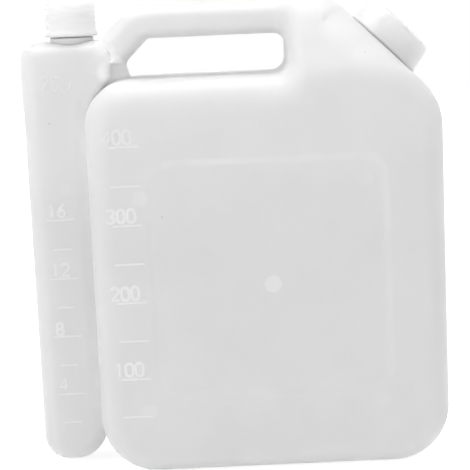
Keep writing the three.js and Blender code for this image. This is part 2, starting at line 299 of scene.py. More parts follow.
def from_turn(x, z, turn):
    """Signed distance from a round corner, and how far round it the nearest point lies."""
    out_x = x - turn["centre"][0]
    out_z = z - turn["centre"][1]
    reach = np.hypot(out_x, out_z)
    toward = turn["toward"]
    ahead = out_x * toward[0] + out_z * toward[1]
    across = (toward[0] * out_z - toward[1] * out_x) * turn["side"]
    angle = np.arctan2(across, ahead)
    inside = np.abs(angle) <= turn["half_turn"]
    distance = np.where(inside, (reach - turn["radius"]) * turn["side"], np.inf)
    return distance, np.clip(0.5 + angle / (2 * turn["half_turn"]), 0, 1)


def from_outline(x, z, turns):
    """Signed distance from an outline, and the rounding of its nearest edge."""
    nearest = np.full(x.shape, np.inf)
    rounding = np.zeros(x.shape)
    for index, turn in enumerate(turns):
        follower = turns[(index + 1) % len(turns)]
        straight = from_edge(x, z, turn["end"], follower["start"])
        nearer = np.abs(straight) < np.abs(nearest)
        nearest = np.where(nearer, straight, nearest)
        rounding = np.where(nearer, turn["roundings"][1], rounding)
        round_part, share_round = from_turn(x, z, turn)
        nearer = np.abs(round_part) < np.abs(nearest)
        nearest = np.where(nearer, round_part, nearest)
        mixed = turn["roundings"][0] + (turn["roundings"][1] - turn["roundings"][0]) * share_round
        rounding = np.where(nearer, mixed, rounding)
    return nearest, np.maximum(rounding, LEAST_ROUNDING)


def from_slab(flat, rounding, depth, half_depth, edge_depth):
    """Distance from a slab with rounded rims, from the distance to its outline."""
    inward = flat + rounding
    outward = depth - (half_depth - edge_depth)
    rim = np.maximum(inward, 0)
    face = np.maximum(outward, 0)
    reach = np.hypot(rim / rounding, face / edge_depth)
    slope = np.hypot(rim / rounding**2, face / edge_depth**2)
    rounded = reach * (reach - 1) / np.maximum(slope, 1e-9)
    inner = np.maximum(flat, depth - half_depth)
    return np.where((inward <= 0) | (outward <= 0), inner, rounded)


def joined(first, second, softness):
    """The nearer of two distances, with a soft hollow where they meet."""
    overlap = np.maximum(softness - np.abs(first - second), 0) / softness
    return np.minimum(first, second) - overlap**2 * softness / 4


def eased(value):
    """From nothing to one as the value goes from nothing to one, with soft ends."""
    value = np.clip(value, 0, 1)
    return value * value * (3 - 2 * value)


# The blown skin


TANK = outline(
    [
        (TANK_LEFT, 0, 16.5, 8),
        (TANK_RIGHT, 0, 16.5, 7),
        (TANK_RIGHT, SHOULDER_FOOT, 17, 10.5),
        (SHOULDER_TOP, HUMP_TOP, 8, 5.5),
        (HUMP_WALL, HUMP_TOP, 1.5, 4.5),
        (HUMP_WALL, TANK_HEIGHT, 4, 11),
        (TANK_LEFT, TANK_HEIGHT, 13, 7),
    ]
)
COLUMN = outline(
    [
        (COLUMN_LEFT, COLUMN_FOOT, 7.5, 5),
        (TANK_LEFT + WELD, COLUMN_FOOT, 9.5, 5),
        (TANK_LEFT + WELD, COLUMN_BREAK, 13, 5),
        (HEAD_RIGHT, HEAD_FOOT, 1.5, 3.5),
        (HEAD_RIGHT, TIP_SHOULDER, 1.5, 3),
        (HEAD_RIGHT - HEAD_CHAMFER, COLUMN_TOP, 1.5, 3.5),
        (COLUMN_LEFT, COLUMN_TOP, 5, 5),
    ]
)
HANDLE = outline(
    [
        (HUMP_WALL + HANDLE_SINK, HANDLE_BOTTOM, 0.5, 3.5),
        (HUMP_WALL + HANDLE_SINK, HANDLE_TOP, 0.5, 3.5),
        (HANDLE_TOP_LEFT, HANDLE_TOP, 10, 3.5),
        (*HANDLE_NOSE, 0.8, 2.5),
        (TIP_LEFT, TIP_SHOULDER, 0.8, 2),
        (TIP_LEFT, TIP_BOTTOM, 0.8, 3.2),
        (TIP_RIGHT, TIP_BOTTOM, 0.8, 3.5),
        (HAND_GAP_LEFT, HANDLE_BOTTOM, 2, 3.5),
    ]
)
WEB = outline(
    [
        (HEAD_RIGHT - 6, TANK_HEIGHT - 6, 0.3, 0.5),
        (TIP_RIGHT + 1.9, TANK_HEIGHT - 3, 0.3, 0.5),
        (TIP_RIGHT, TIP_BOTTOM, 0.3, 0.5),
        (TIP_RIGHT, TIP_BOTTOM + 3, 0.3, 0.5),
        (-37.35, COLUMN_TOP - 1, 0.3, 0.5),
        (-42.85, COLUMN_TOP - 3, 0.3, 0.5),
    ]
)
WEB_HALF_DEPTH = 1.5

# Round marks of the mould: place, radius and strength
MOULD_DISCS = (
    (9.8, 55.4, 2.45, 1.0),
    (-26.7, 81.7, 2.2, 0.4),
    (-26.9, 20.1, 2.2, 0.4),
    (37.1, 84.8, 2.2, 0.25),
    (40.4, 20.2, 2.2, 0.25),
    (-49.1, 83.5, 1.8, 0.35),
)


def panel_depth(x, z, size):
    """How far the broad face lies back at the recessed panel."""
    half_width = size["panel_width"] / 2
    half_height = size["panel_height"] / 2
    radius = size["panel_radius"]
    over_x = np.maximum(np.abs(x - TANK_MIDDLE) - (half_width - radius), 0)
    over_z = np.maximum(np.abs(z - size["panel_middle"]) - (half_height - radius), 0)
    outside = np.hypot(over_x, over_z) - radius
    return size["panel_recess"] * eased(0.5 - outside / size["panel_step"])


def disc_rise(x, z, size):
    """How far the small round mould marks stand over the front face."""
    rise = np.zeros(x.shape)
    for disc_x, disc_z, disc_radius, strength in MOULD_DISCS:
        away = np.hypot(x - disc_x, z - disc_z) - disc_radius
        rise = rise + strength * size["disc_relief"] * eased(0.5 - away / DISC_SOFTNESS)
    return rise


def narrowed(z):
    """The share of its depth that the hump keeps at a height, soft at its foot."""
    softness = 1.2
    rise = softness * np.logaddexp(0, (z - TANK_HEIGHT) / softness)
    lean = (TANK_HALF_DEPTH - HUMP_CREST_HALF_DEPTH) / (HUMP_TOP - TANK_HEIGHT)
    return 1 - lean * rise / TANK_HALF_DEPTH


def flat_distances(x, z, size):
    """What the skin needs from each point's place in the front view alone."""
    return {
        "tank": from_outline(x, z, TANK),
        "column": from_outline(x, z, COLUMN),
        "handle": from_outline(x, z, HANDLE),
        "web": from_outline(x, z, WEB),
        "panel": panel_depth(x, z, size),
        "discs": disc_rise(x, z, size),
        "narrowed": narrowed(z),
    }


def from_skin(x, y, z, flat, size):
    """Distance from the plastic of the bottle, less than nothing inside its wall."""
    depth = np.abs(y)
    half_depth = TANK_HALF_DEPTH * flat["narrowed"]
    edge_depth = TANK_EDGE_DEPTH * flat["narrowed"]
    face = depth + flat["panel"] - np.where(y < 0, flat["discs"], 0)
    tank = from_slab(*flat["tank"], face, half_depth, edge_depth)
    column = from_slab(*flat["column"], depth, COLUMN_HALF_DEPTH, COLUMN_EDGE_DEPTH)
    handle = from_slab(*flat["handle"], depth, HANDLE_HALF_DEPTH, HANDLE_EDGE_DEPTH)
    web = from_slab(*flat["web"], depth, WEB_HALF_DEPTH, 0.5)
    blend = LEAST_ROUNDING + size["handle_blend"] * (1 - eased((x - HUMP_WALL) / HANDLE_ROOT_REACH))
    fuel_side = joined(tank, handle, blend)
    outside = joined(fuel_side, column, size["seam_blend"])
    outside = joined(outside, web, size["seam_blend"])
    inside = np.minimum(fuel_side, column) + size["wall"]
    rise = (x - FUEL_FOOT.x + z - FUEL_FOOT.z) / math.sqrt(2)
    along = (x - FUEL_FOOT.x - z + FUEL_FOOT.z) / math.sqrt(2)
    fuel_hole = np.hypot(along, y) - FUEL_BORE / 2 - NECK_TUBE_SINK
    fuel_hole = np.where(rise > -2 * size["wall"], fuel_hole, FAR_AWAY)
    oil_hole = np.hypot(x - OIL_FOOT.x, y) - OIL_BORE / 2 - NECK_TUBE_SINK
    oil_hole = np.where(z > OIL_FOOT.z - 2 * size["wall"], oil_hole, FAR_AWAY)
    hollow = np.minimum(np.minimum(inside, fuel_hole), oil_hole)
    return np.maximum(outside, -hollow)


def surface_grid(size):
    """The skin's distances on a regular grid, with the grid's first corner."""
    margin = 2.1
    low = np.array((COLUMN_LEFT, -TANK_HALF_DEPTH, 0.0)) - margin
    high = np.array((TANK_RIGHT, TANK_HALF_DEPTH, HUMP_TOP)) + margin
    counts = np.ceil((high - low) / size["grid"]).astype(int) + 1
    lines = [low[axis] + size["grid"] * np.arange(counts[axis]) for axis in range(3)]
    x, z = np.meshgrid(lines[0], lines[2], indexing="ij")
    flat = flat_distances(x, z, size)
    values = np.empty(counts, np.float32)
    for row, y in enumerate(lines[1]):
        values[:, row, :] = from_skin(x, np.full(x.shape, y), z, flat, size)
    return values, low


def net(values, low, pitch):
    """Points and four-sided faces where the grid's values pass through nothing."""
    within = values < 0
    cells = [n - 1 for n in values.shape]
    corners = [(i, j, k) for i in (0, 1) for j in (0, 1) for k in (0, 1)]

    def shifted(grid, corner):
        spans = [slice(corner[a], corner[a] + cells[a]) for a in range(3)]
        return grid[tuple(spans)]

    filled = sum(shifted(within, corner).astype(np.int8) for corner in corners)
    places = np.argwhere((filled > 0) & (filled < 8))
    number = np.full(cells, -1, np.int64)
    number[tuple(places.T)] = np.arange(len(places))
    total = np.zeros((len(places), 3))
    crossings = np.zeros(len(places))
    for first in corners:
        for axis in range(3):
            if first[axis]:
                continue
            second = tuple(1 if a == axis else first[a] for a in range(3))
            near = values[tuple((places + first).T)]
            far = values[tuple((places + second).T)]
            crossed = (near < 0) != (far < 0)
            step = np.where(crossed, near / np.where(crossed, near - far, 1), 0)
            point = np.array(first)[None, :] + step[:, None] * (np.array(second) - first)[None, :]
            total += np.where(crossed[:, None], point, 0)
            crossings += crossed
    points = low + (places + total / crossings[:, None]) * pitch
    faces = []
    for axis in range(3):
        beside, above = (axis + 1) % 3, (axis + 2) % 3
        near = [slice(0, n) for n in values.shape]
        far = [slice(0, n) for n in values.shape]
        near[axis] = slice(0, -1)
        far[axis] = slice(1, None)
        changed = within[tuple(near)] != within[tuple(far)]
        edges = np.argwhere(changed)
        whole = (edges[:, beside] > 0) & (edges[:, above] > 0)
        edges = edges[whole]
        ring = []
        for down_beside, down_above in ((1, 1), (0, 1), (0, 0), (1, 0)):
            cell = edges.copy()
            cell[:, beside] -= down_beside
            cell[:, above] -= down_above
            ring.append(number[tuple(cell.T)])
        quads = np.stack(ring, 1)
        outward = within[tuple(edges.T)]
        quads[~outward] = quads[~outward][:, ::-1]
        faces.append(quads)
    return points, np.concatenate(faces)


def skin_slope(points, size):
    """Distances from the skin at points, and the directions in which they grow."""
    step = 0.02
    x, y, z = points.T
    flat = flat_distances(x, z, size)
    here = from_skin(x, y, z, flat, size)
    beside = from_skin(x + step, y, z, flat_distances(x + step, z, size), size)
    behind = from_skin(x, y + step, z, flat, size)
    above = from_skin(x, y, z + step, flat_distances(x, z + step, size), size)
    return here, np.stack((beside - here, behind - here, above - here), 1) / step


def pulled_to_skin(points, size, rounds):
    """Points moved onto the skin, and the skin's directions there."""
    for _ in range(rounds):
        here, slope = skin_slope(points, size)
        steepness = np.maximum((slope**2).sum(1), 0.2)
        move = (here / steepness)[:, None] * slope
        far = np.maximum(np.linalg.norm(move, axis=1) / (size["grid"] / 2), 1)
        points = points - move / far[:, None]
    slope = skin_slope(points, size)[1]
    return points, slope / np.maximum(np.linalg.norm(slope, axis=1), 1e-9)[:, None]


def vertex_points(mesh):
    flat = np.empty(len(mesh.vertices) * 3)
    mesh.vertices.foreach_get("co", flat)
    return flat.reshape(-1, 3)


def blown_skin(size):
    """The bottle's whole wall as one closed mesh, fine where it curves."""
    values, low = surface_grid(size)
    points, faces = net(values, low, size["grid"])
    points, _ = pulled_to_skin(points, size, 2)
    skin = mesh_object("bottle_skin", points * MM, faces.tolist())
    thin = skin.modifiers.new("Thinned", "DECIMATE")
    thin.ratio = min(1.0, size["triangles"] / (2 * len(faces)))
    thin.use_collapse_triangulate = True
    skin = frozen(skin)
    points, normals = pulled_to_skin(vertex_points(skin.data) / MM, size, 1)
    skin.data.vertices.foreach_set("co", (points * MM).ravel())
    skin.data.polygons.foreach_set("use_smooth", [True] * len(skin.data.polygons))
    skin.data.normals_split_custom_set_from_vertices([tuple(n) for n in normals])
    skin.data.update()
    return skin


class BOTTLE_OT_skin(bpy.types.Operator):
    """Makes the blown wall of the tank, the column and the handle"""

    bl_idname = "bottle.skin"
    bl_label = "Bottle skin"

    def execute(self, context):
        skin = blown_skin(sizes("bottle_sizes"))
        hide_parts("bottle")
        settled(skin, "bottle", skin_plastic())
        return {"FINISHED"}


# Turned pieces, threads and necks


def lathe(name, profile, axes, steps=96):
    """A closed turned piece about +Z from (radius, height) points that start and end on the axis
    or meet each other."""
    closed = profile[0] == profile[-1]
    rows = profile[:-1] if closed else profile
    points = []
    rings = []
    for radius, height in rows:
        if radius == 0:
            rings.append([len(points)])
            points.append((0, 0, height))
            continue
        rings.append(list(range(len(points), len(points) + steps)))
        for step in range(steps):
            angle = 2 * math.pi * step / steps
            points.append((radius * math.cos(angle), radius * math.sin(angle), height))
    faces = []
    pairs = list(zip(rings, rings[1:]))
    if closed:
        pairs.append((rings[-1], rings[0]))
    for low, high in pairs:
        for step in range(steps):
            after = (step + 1) % steps
            if len(low) == 1:
                faces.append((low[0], high[after], high[step]))
            elif len(high) == 1:
                faces.append((low[step], low[after], high[0]))
            else:
                faces.append((low[step], low[after], high[after], high[step]))
    return mesh_object(name, [axes @ (Vector(p) * MM) for p in points], faces)


def bend(centre, radius, start, end, steps=6):
    """Points on a round stretch of a profile, with its angles in degrees."""
    points = []
    for step in range(steps + 1):
        angle = math.radians(start + (end - start) * step / steps)
        points.append((centre[0] + radius * math.cos(angle), centre[1] + radius * math.sin(angle)))
    return points


class NodeTree:
    """A short way to build a geometry or shader tree."""

    def __init__(self, tree):
        self.tree = tree

    def feed(self, socket, value):
        """Sets an input to a plain value, or links it to another node's output."""
        if isinstance(value, bpy.types.NodeSocket):
            self.tree.links.new(value, socket)
        else:
            socket.default_value = value

    def node(self, kind, inputs=None, **settings):
        """A new node with its settings, and with the given inputs fed."""
        made = self.tree.nodes.new(kind)
        for name, value in settings.items():
            setattr(made, name, value)
        for name, value in (inputs or {}).items():
            self.feed(made.inputs[name], value)
        return made

    def math(self, operation, first, second=0.0):
        """The outcome of a sum on one or two values, each a number or a node's output."""
        return self.node("ShaderNodeMath", {0: first, 1: second}, operation=operation).outputs[0]

    def ranged(self, value, low, high, to_low, to_high):
        """A value carried softly from one range to another."""
        limits = {"From Min": low, "From Max": high, "To Min": to_low, "To Max": to_high}
        made = self.node("ShaderNodeMapRange", limits, interpolation_type="SMOOTHSTEP")
        self.feed(made.inputs["Value"], value)
        return made.outputs["Result"]


def geometry_tree(name, kinds):
    """A geometry tree with named number inputs; returns it, those inputs and its output."""
    tree = bpy.data.node_groups.new(name, "GeometryNodeTree")
    tree.interface.new_socket("Geometry", in_out="INPUT", socket_type="NodeSocketGeometry")
    for label, kind in kinds.items():
        tree.interface.new_socket(label, in_out="INPUT", socket_type=kind)
    tree.interface.new_socket("Geometry", in_out="OUTPUT", socket_type="NodeSocketGeometry")
    build = NodeTree(tree)
    return build, build.node("NodeGroupInput").outputs, build.node("NodeGroupOutput")


def grown(name, tree, values):
    """A plain mesh grown by a geometry tree with the given input values."""
    piece = mesh_object(name, [], [])
    modifier = piece.modifiers.new("Grown", "NODES")
    modifier.node_group = tree
    for item in tree.interface.items_tree:
        if item.item_type == "SOCKET" and item.in_out == "INPUT" and item.name in values:
            modifier[item.identifier] = values[item.name]
    plain = frozen(piece)
    if not len(plain.data.polygons):
        raise RuntimeError(f"{name} came out empty")
    return plain


def rod_along(build, curve, radius, sides):
    """A round rod along a curve, closed at its ends."""
    circle = {"Resolution": sides, "Radius": radius}
    profile = build.node("GeometryNodeCurvePrimitiveCircle", circle)
    ways = {"Curve": curve, "Profile Curve": profile.outputs["Curve"], "Fill Caps": True}
    return build.node("GeometryNodeCurveToMesh", ways)


def ending(build, geometry, output, material):
    """The tree's last steps: real geometry with its material."""
    real = build.node("GeometryNodeRealizeInstances", {"Geometry": geometry})
    paint = {"Geometry": real.outputs["Geometry"], "Material": material}
    painted = build.node("GeometryNodeSetMaterial", paint)
    build.feed(output.inputs["Geometry"], painted.outputs["Geometry"])


def thread_tree(material):
    """A ridge that climbs round a tube and fades out at both ends."""
    labels = ("Turns", "Radius", "Pitch", "Ridge")
    build, given, output = geometry_tree("Thread", dict.fromkeys(labels, "NodeSocketFloat"))
    count = build.math("MULTIPLY", given["Turns"], THREAD_STEPS)
    line = build.node("GeometryNodeMeshLine", {"Count": count, "Offset": (0, 0, 0)}, mode="OFFSET")
    path = build.node("GeometryNodeMeshToCurve", {"Mesh": line.outputs["Mesh"]})
    index = build.node("GeometryNodeInputIndex").outputs[0]
    turn = build.math("MULTIPLY", index, 2 * math.pi / THREAD_STEPS)
    rise = build.math("DIVIDE", given["Pitch"], THREAD_STEPS)
    helix = {
        "X": build.math("MULTIPLY", build.math("COSINE", turn), given["Radius"]),
        "Y": build.math("MULTIPLY", build.math("SINE", turn), given["Radius"]),
        "Z": build.math("MULTIPLY", index, rise),
    }
    place = build.node("ShaderNodeCombineXYZ", helix).outputs[0]
    points = {"Geometry": path.outputs["Curve"], "Position": place}
    moved = build.node("GeometryNodeSetPosition", points)
    along = build.node("GeometryNodeSplineParameter").outputs["Factor"]
    from_end = build.math("PINGPONG", along, 0.5)
    fade = build.ranged(from_end, 0, THREAD_FADE, THREAD_END, 1)
    faded = {"Curve": moved.outputs["Geometry"], "Radius": fade}
    thick = build.node("GeometryNodeSetCurveRadius", faded)
    rod = rod_along(build, thick.outputs["Curve"], given["Ridge"], 12)
    if "Scale" in rod.inputs:
        build.feed(rod.inputs["Scale"], fade)
    soft = build.node("GeometryNodeSetShadeSmooth", {"Geometry": rod.outputs["Mesh"]})
    ending(build, soft.outputs["Geometry"], output, material)
    return build.tree


def thread(name, axes, start_and_turns, radius, pitch, ridge, material):
    """A thread's ridge in place on a neck or in a cap."""
    start, turns = start_and_turns
    values = {"Turns": turns, "Radius": radius * MM, "Pitch": pitch * MM, "Ridge": ridge * MM}
    ridge_piece = grown(name, thread_tree(material), values)
    ridge_piece.data.transform(axes @ Matrix.Translation((0, 0, start * MM)))
    return ridge_piece


def neck(name, axes, bore, tube, height, collar, collar_height):
    """A tube with a round collar at its foot, sunk into the bottle's wall, and a rounded mouth."""
    lip = 0.4
    sink = 1.2
    edge = collar_height / 3
    profile = [(bore / 2, -sink), (collar / 2, -sink)]
    profile += bend((collar / 2 - edge, collar_height - edge), edge, 0, 90)
    profile += bend((tube / 2 + lip, collar_height + lip), lip, 270, 180)
    profile += bend((tube / 2 - lip, height - lip), lip, 0, 90)
    profile += bend((bore / 2 + lip, height - lip), lip, 90, 180)
    profile.append(profile[0])
    return lathe(name, profile, axes)


class BOTTLE_OT_necks(bpy.types.Operator):
    """Makes the two necks with their threads"""

    bl_idname = "bottle.necks"
    bl_label = "Necks"

    def execute(self, context):
        size = sizes("closure_sizes")
        plastic = raised_plastic()
        depth = size["thread_depth"]
        oil = (OIL_AXES, OIL_BORE, OIL_NECK_CREST, OIL_NECK_HEIGHT, OIL_COLLAR, OIL_NECK_THREAD)
        fuel = (
            FUEL_AXES, FUEL_BORE, FUEL_NECK_CREST, FUEL_NECK_HEIGHT, FUEL_COLLAR, FUEL_NECK_THREAD
        )
        plans = (("oil_neck", size["oil_pitch"], oil), ("fuel_neck", size["fuel_pitch"], fuel))
        for name, pitch, (axes, bore, crest, height, collar, turns) in plans:
            tube = crest - 2 * depth
            tube_piece = neck(name, axes, bore, tube, height, *collar)
            settled(tube_piece, "bottle", plastic)
            ridge = thread(
                name + "_thread", axes, turns, tube / 2, pitch, depth * RIDGE_SHARE, plastic
            )
            settled(ridge, "bottle", plastic)
        return {"FINISHED"}


# Raised scales


SCALE_LINES = 8
BAR_POINTS = 24
TANK_LINES_INSET = 7
TANK_NUMBERS_LEFT = -36.25


def bar_tree(material):
    """A column of raised lines, every second one of another length."""
    lengths = dict.fromkeys(("Pitch", "Even length", "Odd length", "Thickness"), "NodeSocketFloat")
    build, given, output = geometry_tree("Raised lines", {"Count": "NodeSocketInt", **lengths})
    step = build.node("ShaderNodeCombineXYZ", {"Z": given["Pitch"]})
    row = {"Count": given["Count"], "Offset": step.outputs[0]}
    line = build.node("GeometryNodeMeshLine", row, mode="OFFSET")
    index = build.node("GeometryNodeInputIndex").outputs[0]
    odd = build.math("MODULO", index, 2)
    choice = {"Factor": odd, "A": given["Even length"], "B": given["Odd length"]}
    reach = build.node("ShaderNodeMix", choice, data_type="FLOAT").outputs["Result"]
    stretch = build.node("ShaderNodeCombineXYZ", {"X": reach, "Y": 1, "Z": 1})
    ends = {"Start": (-0.5, 0, 0), "End": (0.5, 0, 0)}
    straight = build.node("GeometryNodeCurvePrimitiveLine", ends)
    stretches = {"Curve": straight.outputs["Curve"], "Count": BAR_POINTS}
    fine = build.node("GeometryNodeResampleCurve", stretches)
    half = build.math("MULTIPLY", given["Thickness"], 0.5)
    rod = rod_along(build, fine.outputs["Curve"], half, 16)
    placing = {
        "Points": line.outputs["Mesh"],
        "Instance": rod.outputs["Mesh"],
        "Scale": stretch.outputs[0],
    }
    placed = build.node("GeometryNodeInstanceOnPoints", placing)
    ending(build, placed.outputs["Instances"], output, material)
    return build.tree


def flattened(piece, face_depth, relief, thickness):
    """Raised strokes pressed to their relief on the front face at a depth from mid depth."""
    points = vertex_points(piece.data)
    points[:, 1] = -face_depth * MM + points[:, 1] * relief / (thickness / 2)
    piece.data.vertices.foreach_set("co", points.ravel())
    piece.data.update()
    return piece


def stroke_arc(x, z, across, up, start, end, steps=14):
    """Points on an oval stretch; angles in degrees."""
    points = []
    for step in range(steps + 1):
        angle = math.radians(start + (end - start) * step / steps)
        points.append((x + across * math.cos(angle), z + up * math.sin(angle)))
    return points


# Strokes of the plain numbers, in a cell 0.6 wide and 1 high
DIGIT_STEP = 0.78
COLON_STEP = 0.4
STROKES = {
    "0": [
        stroke_arc(0.3, 0.7, 0.28, 0.3, 0, 180)
        + stroke_arc(0.3, 0.3, 0.28, 0.3, 180, 360)
        + [(0.58, 0.7)]
    ],
    "1": [[(0.12, 0.8), (0.32, 1), (0.32, 0)]],
    "2": [stroke_arc(0.3, 0.72, 0.28, 0.28, 170, -35) + [(0.02, 0), (0.6, 0)]],
    "3": [stroke_arc(0.28, 0.75, 0.27, 0.25, 160, -90) + stroke_arc(0.28, 0.26, 0.3, 0.26, 90, -160)],
    "4": [[(0.45, 0), (0.45, 1), (0, 0.28), (0.6, 0.28)]],
    "5": [[(0.55, 1), (0.08, 1), (0.04, 0.55)] + stroke_arc(0.28, 0.32, 0.3, 0.32, 125, -150)],
    "6": [[(0.5, 1), (0.16, 0.62)] + stroke_arc(0.3, 0.3, 0.28, 0.3, 140, 500)],
    "8": [
        stroke_arc(0.3, 0.76, 0.23, 0.24, -90, 270),
        stroke_arc(0.3, 0.27, 0.28, 0.27, 90, 450),
    ],
    ":": [[(0.1, 0.26), (0.1, 0.3)], [(0.1, 0.7), (0.1, 0.74)]],
}
# Each number with its left side, its foot and the half depth of the face it stands on
NUMBERS = (
    ("400", TANK_NUMBERS_LEFT, 97.4, TANK_HALF_DEPTH),
    ("300", TANK_NUMBERS_LEFT, 75.1, TANK_HALF_DEPTH),
    ("200", TANK_NUMBERS_LEFT, 52.8, TANK_HALF_DEPTH),
    ("100", TANK_NUMBERS_LEFT, 30.6, TANK_HALF_DEPTH),
    ("25:1", -54.25, 112.4, COLUMN_HALF_DEPTH),
    ("16", -54.45, 75.4, COLUMN_HALF_DEPTH),
    ("12", -54.45, 57.9, COLUMN_HALF_DEPTH),
    ("8", -54.15, 40.2, COLUMN_HALF_DEPTH),
    ("4", -54.15, 23.4, COLUMN_HALF_DEPTH),
)


def number_strokes(name, words, left, foot, height, stroke):
    """A number's strokes as thin round rods in the plane of the front view."""
    curve = bpy.data.curves.new(name, "CURVE")
    curve.dimensions = "3D"
    curve.bevel_depth = stroke / 2 * MM
    curve.bevel_resolution = 3
    curve.use_fill_caps = True
    cursor = 0.0
    for sign in words:
        for points in STROKES[sign]:
            spline = curve.splines.new("POLY")
            spline.points.add(len(points) - 1)
            for point, (x, z) in zip(spline.points, points):
                point.co = ((left + (cursor + x) * height) * MM, 0, (foot + z * height) * MM, 1)
        cursor += COLON_STEP if sign == ":" else DIGIT_STEP
    piece = bpy.data.objects.new(name, curve)
    bpy.context.scene.collection.objects.link(piece)
    return frozen(piece)


def raised_lines(name, tree, size, first, pitch, lengths, middle, face_depth):
    """A row of raised lines up a face, with the lengths of its even and odd lines."""
    even, odd = lengths
    values = {
        "Count": SCALE_LINES,
        "Pitch": pitch * MM,
        "Even length": even * MM,
        "Odd length": odd * MM,
        "Thickness": size["line_thickness"] * MM,
    }
    lines = grown(name, tree, values)
    lines.data.transform(Matrix.Translation(Vector((middle, 0, first)) * MM))
    return flattened(lines, face_depth, size["relief"], size["line_thickness"])


def let_light_through(mark):
    """A raised mark is one with the wall behind it, and so keeps no light from it."""
    mark.visible_shadow = False
    mark.visible_diffuse = False


class BOTTLE_OT_scales(bpy.types.Operator):
    """Makes the raised lines and numbers on the tank and the column"""

    bl_idname = "bottle.scales"
    bl_label = "Scales"

    def execute(self, context):
        size = sizes("scale_sizes")
        plastic = raised_plastic()
        tree = bar_tree(plastic)
        line = size["tank_line"]
        tank_lines = raised_lines(
            "tank_lines", tree, size, size["tank_first"], size["tank_pitch"], (line, line),
            TANK_LEFT + TANK_LINES_INSET + line / 2, TANK_HALF_DEPTH,
        )
        column_lines = raised_lines(
            "column_lines", tree, size, size["column_first"], size["column_pitch"],
            (size["column_short"], size["column_long"]), COLUMN_MIDDLE, COLUMN_HALF_DEPTH,
        )
        marks = [tank_lines, column_lines]
        for words, left, foot, face_depth in NUMBERS:
            name = "number_" + words.replace(":", "_to_")
            number = number_strokes(name, words, left, foot, size["number_height"], size["stroke"])
            marks.append(flattened(number, face_depth, size["relief"], size["stroke"]))
        for mark in marks:
            let_light_through(settled(mark, "bottle", plastic))
        return {"FINISHED"}


# Caps


# Half widths and heights of the caps, from the plane of their open ends
OIL_CAP_ROOF = 8.8
OIL_CAP_SIDE = 7.2
OIL_CAP_LIP = (7.6, 1.1)
OIL_CAP_FIRST_RING = 1.5
OIL_CAP_RIM = (7.15, 9.75)
OIL_CAP_DOME = [(3.5, 9.93), (1.5, 9.99), (0, 10.0)]
FUEL_CAP_ROOF = 7.3
FUEL_CAP_LIP = (12.0, 1.2)
FUEL_CAP_RIM = (10.75, 8.1)
FUEL_CAP_DOME = [(8.0, 8.22), (6.0, 8.42), (4.0, 8.57), (2.0, 8.67), (0, 8.7)]
RING_STEPS = 8


def hollow_profile(bore, roof, corner):
    """The inside of a cap from the middle of its roof to its wall."""
    profile = [(0, roof), (bore - corner, roof)]
    return profile + bend((bore - corner, roof - corner), corner, 90, 0)[1:]


def oil_cap_profile(size):
    """Thin wall with rings round its side, a lip below and a slightly domed top."""
    bore = OIL_NECK_CREST / 2 + CAP_CLEARANCE
    entry = 0.3
    bevel = 0.2
    lip, lip_top = OIL_CAP_LIP
    profile = hollow_profile(bore, OIL_CAP_ROOF, 0.4)
    profile += [(bore, entry), (bore + entry, 0.0), (lip - bevel, 0.0), (lip, bevel)]
    profile += [(lip, lip_top - 0.25), (lip - bevel, lip_top)]
    for ring in range(size["rings"]):
        for step in range(RING_STEPS + 1):
            turn = step / RING_STEPS
            hollow = size["ring_depth"] * (0.5 + 0.5 * math.cos(2 * math.pi * turn))
            height = OIL_CAP_FIRST_RING + (ring + turn) * size["ring_pitch"]
            profile.append((OIL_CAP_SIDE - hollow, height))
    edge = 1.1
    rim, rim_top = OIL_CAP_RIM
    profile += bend((rim - edge, rim_top - edge), edge, 0, 80) + OIL_CAP_DOME
    return [p for i, p in enumerate(profile) if i == 0 or p != profile[i - 1]]


def fuel_cap_profile():
    """Thin tapered wall with a lip below, a soft rim and a domed top."""
    bore = FUEL_NECK_CREST / 2 + CAP_CLEARANCE
    bevel = 0.25
    lip, lip_top = FUEL_CAP_LIP
    profile = hollow_profile(bore, FUEL_CAP_ROOF, 0.6)
    profile += [(bore, 0.4), (bore + 0.35, 0.0), (lip - bevel, 0.0)]
    profile += bend((lip - bevel, bevel), bevel, -90, 0)[1:]
    profile += [(lip, 0.65), (lip - 0.2, lip_top - bevel), (lip - 0.34, lip_top)]
    edge = 1.5
    rim, rim_top = FUEL_CAP_RIM
    return profile + bend((rim - edge, rim_top - edge), edge, 8, 84, 10) + FUEL_CAP_DOME


class BOTTLE_OT_caps(bpy.types.Operator):
    """Makes the two screw caps with the threads inside them"""

    bl_idname = "bottle.caps"
    bl_label = "Caps"

    def execute(self, context):
        size = sizes("closure_sizes")
        plastic = cap_plastic()
        ridge_material = cap_ridge_plastic()
        oil_axes = OIL_AXES @ Matrix.Translation((0, 0, OIL_CAP_SEAT * MM))
        fuel_axes = FUEL_AXES @ Matrix.Translation((0, 0, FUEL_CAP_SEAT * MM))
        oil_cap = lathe("oil_cap_shell", oil_cap_profile(size), oil_axes)
        fuel_cap = lathe("fuel_cap_shell", fuel_cap_profile(), fuel_axes)
        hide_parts("oil_cap")
        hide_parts("fuel_cap")
        settled(oil_cap, "oil_cap", plastic)
        settled(fuel_cap, "fuel_cap", plastic)
        oil_thread = thread(
            "oil_cap_thread", oil_axes, OIL_CAP_THREAD, OIL_NECK_CREST / 2 + CAP_CLEARANCE,
            size["oil_pitch"], CAP_RIDGE, ridge_material,
        )
        fuel_thread = thread(
            "fuel_cap_thread", fuel_axes, FUEL_CAP_THREAD, FUEL_NECK_CREST / 2 + CAP_CLEARANCE,
            size["fuel_pitch"], CAP_RIDGE, ridge_material,
        )
        settled(oil_thread, "oil_cap", ridge_material)
        settled(fuel_thread, "fuel_cap", ridge_material)
        return {"FINISHED"}


